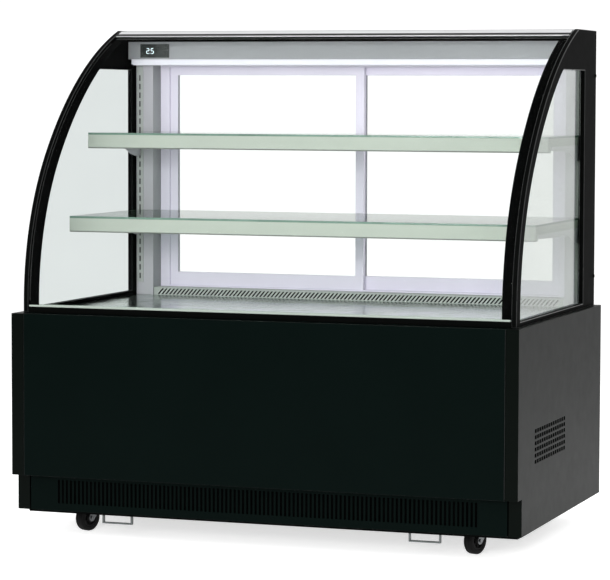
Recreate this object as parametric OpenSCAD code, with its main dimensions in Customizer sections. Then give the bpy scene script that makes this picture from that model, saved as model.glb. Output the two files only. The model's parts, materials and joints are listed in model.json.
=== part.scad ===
// Refrigerated glass display case: sheet-metal machine base on castors,
// curved lift-up front glass, two glass shelves and sliding rear doors.
// X is to the right, Y is to the rear, Z is up; the origin is on the floor
// under the middle of the cabinet.

/* [Overall] */
// Width over the lower side panels
body_w = 1230; // [1180:10:1300]
// Depth of the lower cabinet
body_d = 756; // [752:1:762]
// Height from the floor to the roof
body_h = 1200; // [1198:1:1202]
// Height of the lower cabinet's top ledge
ledge_z = 528; // [526:1:530]

/* [Lower cabinet] */
// Thickness of the painted sheet metal
sheet = 1.5; // [1:0.5:2]
// Bottom of the front panel, above the recessed kick
kick_top = 148; // [140:1:155]
// Bottom of the side panels
side_low = 63; // [60:1:66]
// Depth of the kick recess
kick_recess = 33; // [30:1:36]
// Width of the corner strip beside the front panel
corner_w = 30; // [28:1:32]
// Number of slots in the kick grille
kick_slots = 100; // [60:2:102]
// Columns of the side vent
vent_columns = 14; // [8:1:15]
// Rows of the side vent
vent_rows = 6; // [3:1:8]

/* [Display section] */
// How far the side frames stand in from the side panels
set_in = 15; // [12:1:18]
// Thickness of a side frame
frame_t = 12; // [10:1:13]
// Width of the curved front band of a side frame
band_w = 30; // [26:1:34]
// Radius of the lower stretch of the arch
arch_r1 = 579; // [577:1:581]
// Radius of the upper stretch of the arch
arch_r2 = 879; // [876:1:882]
// Thickness of the front and side glass
glass_t = 6; // [5:0.5:6]
// Height of the lower shelf's top
lower_shelf_z = 746; // [720:2:760]
// Height of the upper shelf's top
upper_shelf_z = 946; // [920:2:960]
// Distance from the lower shelf's front edge back to the cabinet's middle
lower_shelf_reach = 133; // [110:1:140]
// Distance from the upper shelf's front edge back to the cabinet's middle
upper_shelf_reach = 26; // [10:1:40]

/* [Castors] */
// Castor wheel diameter
wheel_d = 64; // [60:1:66]
// Castor wheel width
wheel_w = 22; // [18:1:23]
// Turn of the castors away from straight ahead
castor_turn = 20; // [0:5:45]

/* [Hidden] */

$fn = 48;
arc_fn = 240;

half_w = body_w / 2;
front_y = -body_d / 2;
rear_y = body_d / 2;
kick_y = front_y + kick_recess;

frame_x1 = half_w - set_in;
frame_x0 = frame_x1 - frame_t;
pane_x = frame_x0 - 2.5;
inner_x = frame_x0 - 0.5;
case_rear_y = rear_y - 11;
service_y = rear_y - 2.5;
gland_x = -520;
gland_z = 170;
post_y = rear_y - 122;
column_y = rear_y - 94;
column_x = frame_x0 - 47;

// Arch of the front: two tangent arcs, angles measured from the front. They
// meet on the slope of a 3-4-5 triangle, so the join has exact coordinates.
arch_a1 = asin(3 / 5);
arch_y = front_y + 33.5;
arch_z0 = ledge_z + 18.5;
arch_c1 = [arch_y + arch_r1, arch_z0];
arch_c2 = arch_c1 + (arch_r1 - arch_r2) * ray(arch_a1);
arch_a2 = asin((body_h - arch_c2[1]) / arch_r2);
frame_far = case_rear_y;

window_z0 = ledge_z + 11;
window_z1 = body_h - 98;

base_z0 = 54;
base_z1 = 100;
base_x = frame_x1;
base_t = 3;
base_y = kick_y + 27;
base_rear_y = rear_y - 12;

tub_z0 = 330;
tub_z1 = ledge_z - 2;
tub_x = 580;
tub_y0 = front_y + 38;
tub_y1 = rear_y - 16;
tub_wall = 35;

deck_x = half_w - corner_w - 1;
sill_z = ledge_z + 13;
riser_top = ledge_z + 18;
door_sill_z = ledge_z + 23;

glass_in = 2;
glass_a = 70.2;
seal_a = 66.6;
hinge_y = 222;
hinge_z = body_h - 14;
bead_r = 5;
run_gap = 0.05;

header_z0 = body_h - 71;
header_z1 = body_h - 23;
lamp_z0 = header_z0 - 15;
header_y = 234;
button_x = -486;
button_z = body_h - 50;
button_gap = 6;

slot_pitch = 22;
slot_low = 569;
slot_w = 3;
slot_h = 14;
slot_x = frame_x0 - 11.5;
standard_x = [frame_x0 - 20, frame_x0 - 3];
standard_t = 2.5;
shelf_x = frame_x0 - 8;
shelf_rear = column_y - standard_t - 1;
shelf_glass_t = 5;

door_t = 12;
door_y1 = 335.5;
door_y2 = 351.5;
door_frame_y = door_y1 - 4.5;
door_z0 = door_sill_z - 4.7;
door_z1 = body_h - 83.3;
door_lap = 11;
jamb_x = 515;
left_door_x = [-jamb_x, door_lap];
right_door_x = [-door_lap, jamb_x];
stile_w = 22;
door_rail_low = ledge_z + 57;
door_rail_high = body_h - 110;

kingpin_x = 482;
kingpin_front = -205;
kingpin_rear = 265;
castor_trail = 24;
wheel_z = wheel_d / 2;
plate_z0 = 93;
plate_z1 = base_z1 - base_t;
plate_w = 62;
bolt_pitch = 48;

unit_fan = [470, -100, 215];
coil_fan = [0, 60, 425];

function ray(a) = [-cos(a), sin(a)];
function arch_point(inset, a) =
    a <= arch_a1 ? arch_c1 + (arch_r1 - inset) * ray(a) : arch_c2 + (arch_r2 - inset) * ray(a);
function castor_ends() = [kingpin_front, kingpin_rear];

// ---- helpers ----

module slab(x, y, z) {
    translate([x[0], y[0], z[0]]) cube([x[1] - x[0], y[1] - y[0], z[1] - z[0]]);
}

module plane(y, z) {
    translate([y[0], z[0]]) square([y[1] - y[0], z[1] - z[0]]);
}

module along_x(x) {
    translate([x[0], 0, 0]) rotate([90, 0, 90]) linear_extrude(x[1] - x[0]) children();
}

module along_y(y) {
    translate([0, y[1], 0]) rotate([90, 0, 0]) linear_extrude(y[1] - y[0]) children();
}

module both_sides() {
    children();
    mirror([1, 0, 0]) children();
}

module rod_x(x, y, z, r) {
    translate([x[0], y, z]) rotate([0, 90, 0]) cylinder(h = x[1] - x[0], r = r);
}

module rod_y(x, y, z, r) {
    translate([x, y[1], z]) rotate([90, 0, 0]) cylinder(h = y[1] - y[0], r = r);
}

// Tube through a list of points, with round corners
module pipe(points, r) {
    for (i = [0 : len(points) - 2]) {
        v = points[i + 1] - points[i];
        flat = norm([v[0], v[1]]);
        translate(points[i]) rotate([0, atan2(flat, v[2]), atan2(v[1], v[0])])
            cylinder(h = norm(v), r = r, $fn = 24);
    }
    for (p = points) translate(p) sphere(r = r, $fn = 24);
}

// Triangle that reaches past a circle's rim between two angles
module wedge(centre, r, a0, a1) {
    polygon([centre, centre + 2 * r * ray(a0), centre + 2 * r * ray(a1)]);
}

module arc_piece(centre, r, a0, a1) {
    intersection() {
        translate(centre) circle(r = r, $fn = arc_fn);
        wedge(centre, r, a0, a1);
    }
}

// Everything behind the arch, drawn in by inset, from z0 up
module arch_solid(x, inset, z0) {
    past_top = arch_a2 + 2;
    top = arch_point(inset, past_top);
    low = min(z0, arch_z0) - 1;
    intersection() {
        slab(x, [arch_y - 1, frame_far], [z0, body_h]);
        union() {
            along_x(x) polygon([[arch_y + inset, low], [arch_y + inset, arch_z0],
                arch_point(inset, arch_a1), top, [frame_far + 1, top[1]], [frame_far + 1, low]]);
            along_x(x) arc_piece(arch_c1, arch_r1 - inset, 0, arch_a1);
            along_x(x) arc_piece(arch_c2, arch_r2 - inset, arch_a1, past_top);
        }
    }
}

// Strip that follows the arch between two depths, up to an angle
module arch_band(x, t0, t1, z0, a_end) {
    reach = arch_c2 + 1.2 * arch_r2 * ray(a_end);
    intersection() {
        difference() {
            arch_solid(x, t0, z0);
            arch_solid([x[0] - 1, x[1] + 1], t1, z0 - 1);
        }
        along_x([x[0] - 1, x[1] + 1]) polygon([arch_c2, reach, [arch_y - 50, reach[1]],
            [arch_y - 50, z0 - 1], [arch_c2[0], z0 - 1]]);
    }
}

module ring_piece(centre, r, t0, t1, a0, a1) {
    intersection() {
        difference() {
            translate(centre) circle(r = r - t0, $fn = arc_fn);
            translate(centre) circle(r = r - t1, $fn = arc_fn);
        }
        wedge(centre, r, a0, a1);
    }
}

// ---- lower cabinet ----

module castor_bolts(r, z) {
    for (sx = [-1, 1], y = castor_ends(), dx = [-1, 1], dy = [-1, 1])
        translate([sx * kingpin_x + dx * bolt_pitch / 2, y + dy * bolt_pitch / 2, z[0]])
            cylinder(h = z[1] - z[0], r = r, $fn = 24);
}

module base_frame() {
    post = 35;
    color([0.08, 0.09, 0.09]) difference() {
        union() {
            slab([-base_x, base_x], [base_y, base_rear_y], [plate_z1, base_z1]);
            difference() {
                slab([-base_x, base_x], [base_y, base_rear_y], [base_z0, plate_z1]);
                slab([base_t - base_x, base_x - base_t], [base_y + base_t, base_rear_y - base_t],
                    [base_z0 - 1, plate_z1 + 1]);
            }
            for (y = [base_y, tub_y1 - post]) both_sides() difference() {
                slab([tub_x - post, tub_x], [y, y + post], [base_z1, tub_z0]);
                slab([tub_x - post - 1, tub_x - base_t],
                    y < 0 ? [y + base_t, y + post + 1] : [y - 1, y + post - base_t],
                    [base_z1, tub_z0 + 1]);
            }
        }
        castor_bolts(4.2, [plate_z1 - 1, base_z1 + 1]);
    }
}

module side_outline(inset) {
    polygon([[front_y + inset, kick_top + inset], [front_y + inset, ledge_z - inset],
        [rear_y - inset, ledge_z - inset], [rear_y - inset, side_low + inset],
        [kick_y + inset, side_low + inset], [kick_y + inset, kick_top + inset]]);
}

module side_shell() {
    difference() {
        along_x([half_w - corner_w, half_w]) side_outline(0);
        along_x([half_w - corner_w - 1, half_w - sheet]) side_outline(sheet);
        slab([half_w - corner_w - 1, base_x + 0.2], [kick_y + sheet, rear_y + 1],
            [side_low - 1, side_low + sheet + 1]);
    }
}

module vent_slots() {
    slot = [14.5, 9];
    pitch = [19.7, 13.9];
    first = [-238, 213.5];
    for (i = [0 : vent_columns - 1], j = [0 : vent_rows - 1])
        translate([half_w - 5, first[0] + i * pitch[0], first[1] + j * pitch[1]])
            cube([10, slot[0], slot[1]]);
}

module side_panel_left() {
    color([0.14, 0.15, 0.15]) mirror([1, 0, 0]) side_shell();
}

module side_panel_right() {
    color([0.14, 0.15, 0.15]) difference() {
        side_shell();
        vent_slots();
    }
}

module front_panel() {
    x = half_w - corner_w - 1;
    color([0.05, 0.06, 0.06]) {
        slab([-x, x], [front_y, front_y + sheet], [kick_top, ledge_z]);
        slab([-x, x], [front_y + sheet, front_y + 58], [ledge_z - sheet, ledge_z]);
        slab([-x, x], [front_y + sheet, kick_y], [kick_top, kick_top + sheet]);
        both_sides() slab([x - sheet, x], [front_y + sheet, front_y + 15],
            [kick_top + sheet, ledge_z - sheet]);
    }
}

module kick_grille() {
    x = half_w - corner_w - 3;
    pitch = 10.3;
    slot = [5, 55];
    color([0.09, 0.1, 0.1]) difference() {
        union() {
            slab([-x, x], [kick_y, kick_y + sheet], [side_low, kick_top - 0.5]);
            slab([-x, x], [kick_y, base_y - 0.2], [side_low, side_low + sheet]);
        }
        for (i = [0 : kick_slots - 1])
            translate([(i - (kick_slots - 1) / 2) * pitch - slot[0] / 2, kick_y - 1, side_low + 18])
                cube([slot[0], sheet + 2, slot[1]]);
    }
}

module rear_service_panel() {
    x = half_w - corner_w - 1;
    louvre = [180, 7];
    louvre_rows = 10;
    louvre_z = 130;
    louvre_pitch = 18;
    color([0.12, 0.13, 0.13]) difference() {
        union() {
            slab([-x, x], [service_y - sheet, service_y], [side_low + 3, ledge_z]);
            slab([-x, x], [case_rear_y, service_y - sheet], [ledge_z - sheet, ledge_z]);
            slab([-x, x], [base_rear_y + 0.5, service_y - sheet],
                [side_low + 3, side_low + 3 + sheet]);
        }
        for (x = [-380, 0, 380], i = [0 : louvre_rows - 1])
            translate([x - louvre[0] / 2, service_y - 5, louvre_z + i * louvre_pitch])
                cube([louvre[0], 6, louvre[1]]);
        rod_y(gland_x, [service_y - 5, service_y + 1], gland_z, 12);
    }
}

module insulated_tub() {
    color([0.85, 0.86, 0.86]) difference() {
        slab([-tub_x, tub_x], [tub_y0, tub_y1], [tub_z0, tub_z1]);
        slab([tub_wall - tub_x, tub_x - tub_wall], [tub_y0 + tub_wall, tub_y1 - tub_wall],
            [tub_z0 + tub_wall, tub_z1 + 1]);
        for (y = [250, 280]) translate([430, y, tub_z0 - 1]) cylinder(h = tub_wall + 2, r = 9);
        translate([-120, 250, tub_z0 - 1]) cylinder(h = tub_wall + 2, r = 12);
    }
}

module base_straps() {
    strip = 3;
    half = 37.5;
    foot = 12.5;
    low = 33;
    y = [-308, -298];
    color([0.75, 0.76, 0.77]) for (x = [-378, 378]) translate([x, 0, 0]) {
        slab([-half, half], y, [low, low + strip]);
        both_sides() slab([half - strip, half], y, [low + strip, plate_z1 - strip]);
        both_sides() slab([half - strip, half + foot], y, [plate_z1 - strip, plate_z1]);
    }
}

// ---- machinery in the base ----

// Half ring that joins two coil tubes, bulging towards +X
module coil_bend(tube_r) {
    rotate([90, 0, 0]) difference() {
        rotate_extrude($fn = 48) translate([12.5, 0]) circle(r = tube_r, $fn = 24);
        translate([-20, -20, -10]) cube([20, 40, 20]);
    }
}

module condensing_unit_tray() {
    lip = 10;
    color([0.6, 0.61, 0.62]) difference() {
        slab([180, 575], [-290, 120], [base_z1, base_z1 + lip]);
        slab([182, 573], [-288, 118], [base_z1 + 2, base_z1 + lip + 1]);
    }
}

module compressor() {
    can_r = 72;
    can_low = base_z1 + 16;
    can_high = 235;
    color([0.06, 0.06, 0.07]) translate([300, -100, 0]) {
        translate([0, 0, can_low]) cylinder(h = can_high - can_low, r = can_r, $fn = 96);
        translate([0, 0, can_high]) intersection() {
            sphere(r = can_r, $fn = 96);
            cylinder(h = can_r, r = can_r, $fn = 96);
        }
        for (x = [-70, 70], y = [-55, 55]) translate([x, y, base_z1 + 2])
            cylinder(h = 14, r = 12);
        slab([-85, 85], [-68, 68], [base_z1 + 12, can_low]);
        slab([-can_r - 14, -can_r + 10], [-28, 28], [165, 225]);
    }
}

module condenser_coil() {
    x = [540, 572];
    y = [-252, 52];
    z = [125, 305];
    rows = [548, 564];
    tube_r = 4;
    color([0.72, 0.73, 0.74]) {
        slab(x, [y[0], y[0] + 2], [base_z1 + 2, z[1]]);
        slab(x, [y[1] - 2, y[1]], [base_z1 + 2, z[1]]);
        for (i = [0 : 24]) slab([x[0] + 2, x[1] - 2], [-245 + i * 12, -244 + i * 12], z);
        for (i = [0 : 5], k = rows) rod_y(k, y, z[0] + 15 + i * 25, tube_r);
        for (i = [0 : 2], k = rows) {
            translate([k, y[1], z[0] + 27.5 + i * 50]) rotate([0, 0, 90]) coil_bend(tube_r);
            if (i < 2) translate([k, y[0], z[0] + 52.5 + i * 50]) rotate([0, 0, -90])
                coil_bend(tube_r);
        }
    }
}

module condenser_fan_shroud() {
    c = unit_fan;
    floor_z = base_z1 + 2;
    color([0.1, 0.1, 0.11]) {
        difference() {
            slab([515, 517], [c[1] - 115, c[1] + 115], [floor_z, 320]);
            rod_x([510, 520], c[1], c[2], 92);
        }
        difference() {
            rod_x([500, 515], c[1], c[2], 96);
            rod_x([490, 520], c[1], c[2], 92);
        }
        rod_x([448, 486], c[1], c[2], 32);
        rod_x([486, 508], c[1], c[2], 4);
        slab([454, 480], [c[1] - 12, c[1] + 12], [floor_z, c[2] - 25]);
        slab([454, 480], [c[1] - 112, c[1] + 112], [floor_z, floor_z + 3]);
        for (y = [-112, 106]) slab([454, 515], [c[1] + y, c[1] + y + 6], [floor_z, floor_z + 6]);
    }
}

// Hub and pitched blades about the +X axis
module fan_rotor(hub_r, tip_r, depth, bore_r) {
    blades = 5;
    difference() {
        union() {
            cylinder(h = depth, r = hub_r);
            for (i = [0 : blades - 1]) rotate([0, 0, i * 360 / blades])
                translate([hub_r - 4, 0, depth / 2]) rotate([32, 0, 0])
                    translate([0, -0.42 * tip_r / 2, -0.8])
                        cube([tip_r - hub_r - 1, 0.42 * tip_r, 1.6]);
        }
        translate([0, 0, -1]) cylinder(h = depth + 2, r = bore_r);
    }
}

module condenser_fan_blade() {
    color([0.3, 0.31, 0.33]) translate([490, unit_fan[1], unit_fan[2]]) rotate([0, 90, 0])
        fan_rotor(20, 86, 16, 4 + run_gap);
}

module refrigerant_lines() {
    color([0.72, 0.42, 0.25]) {
        pipe([[300, -22.5, 190], [300, 60, 190], [430, 60, 190], [430, 250, 190],
            [430, 250, 402], [430, 210, 402], [376, 210, 402]], 5);
        pipe([[556, 74, 140], [556, 280, 140], [430, 280, 140], [430, 280, 477],
            [430, 210, 477], [375, 210, 477]], 4);
        pipe([[300, -176.5, 190], [300, -262, 190], [530, -262, 190]], 4);
    }
}

module condensate_pan() {
    x = [-220, 60];
    y = [140, 320];
    color([0.15, 0.15, 0.16]) difference() {
        slab(x, y, [base_z1, base_z1 + 45]);
        slab([x[0] + 2, x[1] - 2], [y[0] + 2, y[1] - 2], [base_z1 + 2, base_z1 + 50]);
    }
}

module electrical_box() {
    color([0.55, 0.56, 0.57]) {
        slab([-140, 40], [-200, -80], [base_z1, 220]);
        slab([-143, 43], [-203, -77], [220, 224]);
        for (x = [-100, -50, 0]) rod_y(x, [-80, -68], 190, 9);
    }
}

module power_inlet_gland() {
    color([0.05, 0.05, 0.05]) difference() {
        union() {
            rod_y(gland_x, [rear_y - 12, rear_y], gland_z, 11.5);
            rod_y(gland_x, [service_y - 9, service_y - sheet], gland_z, 16);
        }
        rod_y(gland_x, [rear_y - 20, rear_y + 2], gland_z, 5);
    }
}

module evaporator_coil() {
    z = [385, 495];
    y = [150, 230];
    rows = [170, 210];
    tube_r = 4.5;
    color([0.74, 0.75, 0.76]) {
        both_sides() slab([368, 370], y, [tub_z0 + tub_wall, z[1]]);
        for (i = [0 : 45]) slab([-361 + i * 16, -360 + i * 16], [y[0] + 2, y[1] - 2], z);
        for (i = [0 : 3], k = rows) rod_x([-370, 370], k, z[0] + 17 + i * 25, tube_r);
        for (k = rows) {
            translate([370, k, z[0] + 54.5]) coil_bend(tube_r);
            for (i = [0, 50]) mirror([1, 0, 0]) translate([370, k, z[0] + 29.5 + i])
                coil_bend(tube_r);
        }
    }
}

module evaporator_fan_housing() {
    c = coil_fan;
    y = c[1] + 20;
    floor_z = tub_z0 + tub_wall;
    color([0.12, 0.12, 0.13]) {
        difference() {
            slab([-110, 110], [y, y + 2], [floor_z, 500]);
            rod_y(0, [y - 5, y + 5], c[2], 56);
        }
        rod_y(0, [c[1] - 20, c[1] + 8], c[2], 24);
        rod_y(0, [c[1] + 8, c[1] + 24], c[2], 3);
        slab([-10, 10], [c[1] - 16, c[1] + 4], [floor_z, c[2] - 20]);
        slab([-10, 10], [c[1] - 16, y + 2], [floor_z, floor_z + 3]);
    }
}

module evaporator_fan_blade() {
    color([0.3, 0.31, 0.33]) translate([0, coil_fan[1] + 24, coil_fan[2]]) rotate([90, 0, 0])
        fan_rotor(13, 50, 12, 3 + run_gap);
}

// ---- display section ----

module deck_panel() {
    color([0.66, 0.72, 0.69])
        slab([-deck_x, deck_x], [front_y + 60, column_y - 1], [ledge_z - 2, ledge_z]);
}

module deck_vent_riser() {
    x = column_x - 2;
    pitch = 10.3;
    count = 2 * floor((x - 12) / pitch);
    slot = [4.5, 15];
    lean = 13;
    color([0.85, 0.86, 0.86]) {
        difference() {
            slab([-x, x], [column_y, column_y + sheet], [ledge_z - 1.5, riser_top]);
            for (i = [0 : count - 1])
                translate([(i - (count - 1) / 2) * pitch - (lean + slot[0]) / 2, 0, ledge_z + 1.5])
                    along_y([column_y - 1, column_y + 5])
                        polygon([[0, 0], [slot[0], 0], [slot[0] + lean, slot[1]], [lean, slot[1]]]);
        }
        slab([-x, x], [column_y, door_frame_y - 0.5], [riser_top, riser_top + sheet]);
    }
}

module front_sill_rail() {
    rail_d = 17;
    wall = 3;
    color([0.04, 0.04, 0.05]) along_x([-inner_x, inner_x]) difference() {
        plane([arch_y, arch_y + rail_d], [ledge_z, sill_z]);
        plane([arch_y + wall, arch_y + rail_d - wall], [ledge_z - 1, sill_z - wall]);
    }
}

module side_frame() {
    through = [frame_x0 - 1, frame_x1 + 1];
    difference() {
        arch_solid([frame_x0, frame_x1], 0, ledge_z);
        intersection() {
            arch_solid(through, band_w, ledge_z);
            slab(through, [arch_y, post_y], [window_z0, window_z1]);
        }
    }
}

module side_frame_left() {
    color([0.1, 0.1, 0.11]) mirror([1, 0, 0]) side_frame();
}

module side_frame_right() {
    color([0.1, 0.1, 0.11]) side_frame();
}

module side_pane() {
    lap = 12;
    deck_gap = 3;
    x = [frame_x0 - glass_t, frame_x0];
    intersection() {
        arch_solid(x, band_w - lap, ledge_z);
        slab(x, [arch_y, post_y + lap / 2], [ledge_z + deck_gap, window_z1 + lap]);
    }
}

module side_glass_left() {
    color([0.85, 0.92, 0.9, 0.3]) mirror([1, 0, 0]) side_pane();
}

module side_glass_right() {
    color([0.85, 0.92, 0.9, 0.3]) side_pane();
}

module glass_seals() {
    seal = [glass_in + glass_t + 0.6, glass_in + glass_t + 8];
    color([0.03, 0.03, 0.03]) both_sides()
        arch_band([frame_x0 - 9, frame_x0], seal[0], seal[1], sill_z + 14, seal_a);
}

module front_glass() {
    color([0.85, 0.93, 0.9, 0.3])
        arch_band([-pane_x, pane_x], glass_in, glass_in + glass_t, sill_z + 2.5, glass_a);
}

module glass_hinge_leaf() {
    lip = [glass_a - 1.7, glass_a + 0.9];
    groove = [glass_a - 1.45, glass_a - 0.5];
    t = [0, glass_in + glass_t + 2];
    foot = arch_point(5, glass_a + 0.5);
    hinge = [hinge_y, hinge_z];
    side = [0, 2];
    color([0.85, 0.86, 0.87]) {
        along_x([-pane_x, pane_x]) difference() {
            ring_piece(arch_c2, arch_r2, t[0], t[1], lip[0], lip[1]);
            ring_piece(arch_c2, arch_r2, glass_in, glass_in + glass_t, lip[0] - 1, glass_a);
            ring_piece(arch_c2, arch_r2, -1, 1, groove[0], groove[1]);
        }
        along_x([-pane_x, pane_x]) polygon([foot - side, foot + side, hinge + side, hinge - side]);
        rod_x([-pane_x, pane_x], hinge_y, hinge_z, bead_r);
    }
}

module glass_bottom_trim() {
    color([0.9, 0.9, 0.9]) along_x([-pane_x, pane_x]) difference() {
        plane([arch_y, arch_y + glass_in + glass_t + 2], [sill_z + 0.6, sill_z + 6]);
        plane([arch_y + glass_in, arch_y + glass_in + glass_t + 0.2], [sill_z + 2.5, sill_z + 20]);
        plane([arch_y - 1, arch_y + glass_in], [sill_z + 5, sill_z + 20]);
    }
}

module hinge_rail() {
    socket_r = bead_r + 2.6;
    centre = [hinge_y, hinge_z];
    color([0.8, 0.81, 0.82]) along_x([-inner_x, inner_x]) difference() {
        union() {
            plane([hinge_y + 4, header_y + 2], [header_z1, body_h]);
            plane([hinge_y, header_y], [hinge_z - 6, hinge_z + 6]);
            translate(centre) circle(r = socket_r);
        }
        translate(centre) circle(r = bead_r + run_gap);
        polygon([centre, centre + 40 * ray(-21), centre + 60 * ray(39), centre + 40 * ray(99)]);
    }
}

module roof_panel() {
    color([0.1, 0.1, 0.11]) {
        slab([-inner_x, inner_x], [header_y + 2, case_rear_y - sheet], [body_h - 2, body_h]);
        slab([-inner_x, inner_x], [case_rear_y - sheet, case_rear_y], [header_z0, body_h]);
    }
}

module header_panel() {
    color([0.66, 0.67, 0.67]) difference() {
        union() {
            slab([-inner_x, inner_x], [header_y, header_y + sheet], [header_z0, header_z1]);
            slab([-inner_x, inner_x], [header_y + sheet, case_rear_y - sheet - 0.5],
                [header_z0, header_z0 + sheet]);
        }
        slab([-549, -479], [header_y - 1, header_y + 5], [header_z0 + 8, header_z0 + 34]);
    }
}

module header_lamp() {
    color([0.98, 0.98, 1]) {
        slab([-574, 574], [header_y, header_y + 26], [lamp_z0, header_z0]);
        both_sides() slab([574, 580], [header_y + 2, header_y + 24], [lamp_z0 + 2, header_z0]);
    }
}

module controller() {
    color([0.2, 0.23, 0.22]) difference() {
        union() {
            slab([-553, -475], [header_y - 3, header_y], [header_z0 + 4, header_z0 + 38]);
            slab([-548.7, -479.3], [header_y, header_y + 52], [header_z0 + 8.3, header_z0 + 33.7]);
        }
        slab([-545, -497], [header_y - 4, header_y - 1.5], [header_z0 + 10, header_z0 + 32]);
        for (z = [-button_gap, button_gap])
            rod_y(button_x, [header_y - 4, header_y + 1], button_z + z, 2.7);
    }
}

module button(z) {
    color([0.7, 0.72, 0.72]) rod_y(button_x, [header_y - 4, header_y], button_z + z, 2.4);
}

module controller_button_up() {
    button(button_gap);
}

module controller_button_down() {
    button(-button_gap);
}

module rear_columns() {
    relief = slot_w / 2 + 0.8;
    color([0.65, 0.67, 0.67]) both_sides() difference() {
        slab([column_x, inner_x], [column_y, case_rear_y - 0.5], [ledge_z, header_z0]);
        slab([column_x + sheet, inner_x - sheet], [column_y + sheet, case_rear_y - 2],
            [ledge_z - 1, header_z0 + 1]);
        slab([slot_x - relief, slot_x + relief], [column_y - 1, column_y + sheet + 1],
            [slot_low - 2, lamp_z0 - 10]);
    }
}

module shelf_standards() {
    last = floor((lamp_z0 - slot_low - 6) / slot_pitch) - 1;
    color([0.75, 0.77, 0.77]) both_sides() difference() {
        slab(standard_x, [column_y - standard_t, column_y], [slot_low - 9, lamp_z0 - 2]);
        for (i = [0 : last])
            translate([slot_x - slot_w / 2, column_y - 5, slot_low + i * slot_pitch])
                cube([slot_w, 6, slot_h]);
    }
}

// Slot nearest below a height
function slot_base(z) = slot_low + floor((z - slot_low) / slot_pitch) * slot_pitch;

module bracket(top, front) {
    rear = column_y - standard_t;
    hook = slot_base(top - 34);
    both_sides() along_x([slot_x - 1.2, slot_x + 1.2]) {
        polygon([[front + 40, top - 24], [rear, top - 24], [rear, top - 62], [rear - 30, top - 62],
            [rear - 60, top - 56], [rear - 100, top - 40], [front + 40, top - 34]]);
        plane([rear - 2, rear + standard_t - 0.2], [hook + 1, hook + 9]);
    }
}

module shelf_brackets() {
    color([0.55, 0.57, 0.57]) {
        bracket(lower_shelf_z, -lower_shelf_reach);
        bracket(upper_shelf_z, -upper_shelf_reach);
    }
}

// Open frame under a shelf's glass, with a deep front rail rounded along its lower edge
module shelf_rails(top, front) {
    seat = top - shelf_glass_t;
    low = top - 38.5;
    side_low_z = top - 24;
    rail_w = 22;
    round_r = 4;
    wall = 3;
    color([0.78, 0.82, 0.78]) difference() {
        union() {
            slab([-shelf_x, shelf_x], [front, front + rail_w], [low + round_r, seat]);
            slab([-shelf_x, shelf_x], [front + round_r, front + rail_w], [low, low + round_r]);
            rod_x([-shelf_x, shelf_x], front + round_r, low + round_r, round_r);
            slab([-shelf_x, shelf_x], [shelf_rear - 14, shelf_rear], [side_low_z, seat]);
            both_sides() slab([shelf_x - rail_w, shelf_x], [front, shelf_rear], [side_low_z, seat]);
        }
        slab([10 - shelf_x, shelf_x - 10], [front + wall + 2, front + rail_w - wall],
            [low - 1, low + 8]);
    }
}

module shelf_pane(top, front) {
    color([0.7, 0.82, 0.76, 0.5])
        slab([-shelf_x, shelf_x], [front, shelf_rear], [top - shelf_glass_t, top]);
}

module lower_shelf_rails() {
    shelf_rails(lower_shelf_z, -lower_shelf_reach);
}

module lower_shelf_glass() {
    shelf_pane(lower_shelf_z, -lower_shelf_reach);
}

module upper_shelf_rails() {
    shelf_rails(upper_shelf_z, -upper_shelf_reach);
}

module upper_shelf_glass() {
    shelf_pane(upper_shelf_z, -upper_shelf_reach);
}

// ---- rear doors ----

module door_frame() {
    x = column_x - 0.5;
    y = [door_frame_y, case_rear_y - 0.5];
    grooves = [door_y1, door_y2];
    color([0.85, 0.85, 0.91]) difference() {
        union() {
            slab([-x, x], y, [tub_z1, door_sill_z]);
            slab([-x, x], y, [door_z1 - 6.7, header_z0 - 0.5]);
            both_sides() slab([jamb_x + 0.5, x], y, [door_sill_z, door_z1 - 6.7]);
        }
        for (g = grooves) {
            slab([-jamb_x - 0.5, jamb_x + 0.5], [g - 0.3, g + door_t + 0.3],
                [door_z0 - 0.3, door_sill_z + 1]);
            slab([-jamb_x - 0.5, jamb_x + 0.5], [g - 0.3, g + door_t + 0.3],
                [door_z1 - 8, door_z1 + 0.3]);
        }
    }
}

module door_leaf(x, y) {
    pull_w = 9;
    pull_x = x[0] < -jamb_x + 1 ? x[0] + 3 : x[1] - 3 - pull_w;
    difference() {
        slab(x, [y, y + door_t], [door_z0, door_z1]);
        slab([x[0] + stile_w, x[1] - stile_w], [y - 1, y + door_t + 1],
            [door_rail_low, door_rail_high]);
        slab([x[0] + stile_w - 8, x[1] - stile_w + 8], [y + 4, y + 8],
            [door_rail_low - 8, door_rail_high + 8]);
        slab([pull_x, pull_x + pull_w], [y + 5, y + door_t + 1], [790, 930]);
    }
}

module door_pane(x, y) {
    slab([x[0] + stile_w - 8, x[1] - stile_w + 8], [y + 4, y + 8],
        [door_rail_low - 8, door_rail_high + 8]);
}

module left_door_frame() {
    color([0.86, 0.86, 0.92]) door_leaf(left_door_x, door_y1);
}

module left_door_glass() {
    color([0.9, 0.95, 0.95, 0.3]) door_pane(left_door_x, door_y1);
}

module right_door_frame() {
    color([0.86, 0.86, 0.92]) door_leaf(right_door_x, door_y2);
}

module right_door_glass() {
    color([0.9, 0.95, 0.95, 0.3]) door_pane(right_door_x, door_y2);
}

// ---- fasteners ----

module case_screws() {
    frame_z = [600, 1090];
    panel_z = [130, 300, 470];
    color([0.35, 0.36, 0.37]) {
        both_sides() for (z = frame_z)
            rod_x([frame_x1, frame_x1 + 2.5], case_rear_y - 9, z, 5);
        both_sides() for (z = panel_z) rod_y(560, [service_y, service_y + 2.3], z, 4);
        castor_bolts(4, [plate_z0 - 0.5, base_z1]);
        castor_bolts(6.5, [plate_z0 - 4.5, plate_z0]);
    }
}

// ---- castors ----

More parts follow.
